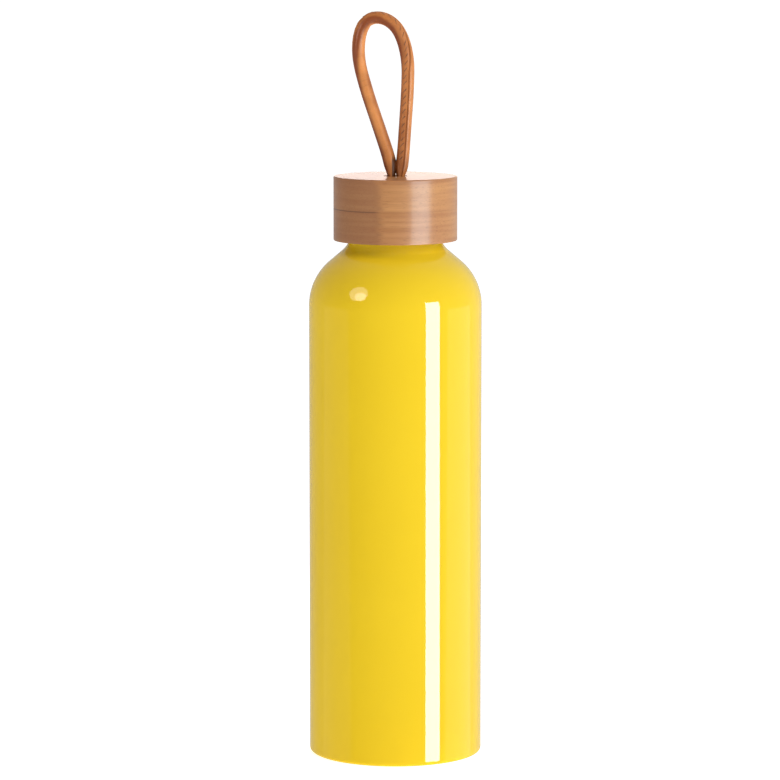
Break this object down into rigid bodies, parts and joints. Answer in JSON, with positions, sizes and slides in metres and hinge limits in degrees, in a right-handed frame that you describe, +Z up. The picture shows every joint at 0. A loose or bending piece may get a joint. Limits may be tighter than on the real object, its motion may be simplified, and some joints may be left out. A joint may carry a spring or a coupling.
{
  "type": "insulated water bottle",
  "caption": "Slim round water bottle with a domed shoulder, a straight-sided bamboo screw lid and a leather carry loop held in the lid's top.",
  "frame": {"origin": "centre of the ring that the bottle stands on", "axes": "+Z up along the bottle's axis; the loop stands in the XZ plane with its seam towards -Y, the front"},
  "size_m": [0.066, 0.066, 0.2847],
  "materials": {
    "yellow_lacquer": "gloss lacquer",
    "bare_steel": "fine brushed",
    "copper_foil": "bright foil",
    "solder_glass": "fused bead",
    "getter_metal": "dull pressed pill",
    "bamboo": "satin oil",
    "liner_plastic": "moulded, satin",
    "silicone": "soft, matte",
    "tan_leather": "smooth, waxed",
    "cotton_core": "twisted cotton",
    "brown_thread": "waxed thread",
    "plain_brass": "satin"
  },
  "bodies": {
    "bottle": {"outer_shell": "yellow_lacquer", "inner_vessel": "bare_steel", "vessel_bottom": "bare_steel", "heat_foil": "copper_foil", "base_cup": "bare_steel", "port_seal": "solder_glass", "base_cover": "bare_steel", "getter": "getter_metal", "getter_clip": "bare_steel"},
    "seal": {"sealing_ring": "silicone"},
    "lid": {"bamboo_lid": "bamboo", "thread_liner": "liner_plastic"},
    "loop_anchor": {"loop_ends": "tan_leather", "anchor_washer": "bare_steel", "crimp_ferrule": "plain_brass"},
    "loop": {"carry_loop": "tan_leather", "loop_core": "cotton_core", "loop_stitches": "brown_thread"}
  },
  "joints": [
    {"name": "cap_rise", "type": "slide", "parent": "bottle", "child": "seal", "axis": [0, 0, 1], "range_m": [0, 0.012]},
    {"name": "cap_turn", "type": "hinge", "parent": "seal", "child": "lid", "pos_m": [0, 0, 0.205], "axis": [0, 0, 1], "range_deg": [0, 1080]},
    {"name": "loop_swivel", "type": "hinge", "parent": "lid", "child": "loop_anchor", "pos_m": [0, 0, 0.2182], "axis": [0, 0, 1], "continuous": true},
    {"name": "loop_tilt", "type": "hinge", "parent": "loop_anchor", "child": "loop", "pos_m": [0, 0, 0.2249], "axis": [1, 0, 0], "range_deg": [-70, 70], "stiffness_Nm_per_rad": 0.01}
  ],
  "couplings": [
    {"joint": "cap_rise", "follows": "cap_turn", "m_per_rad": 0.00063661}
  ]
}
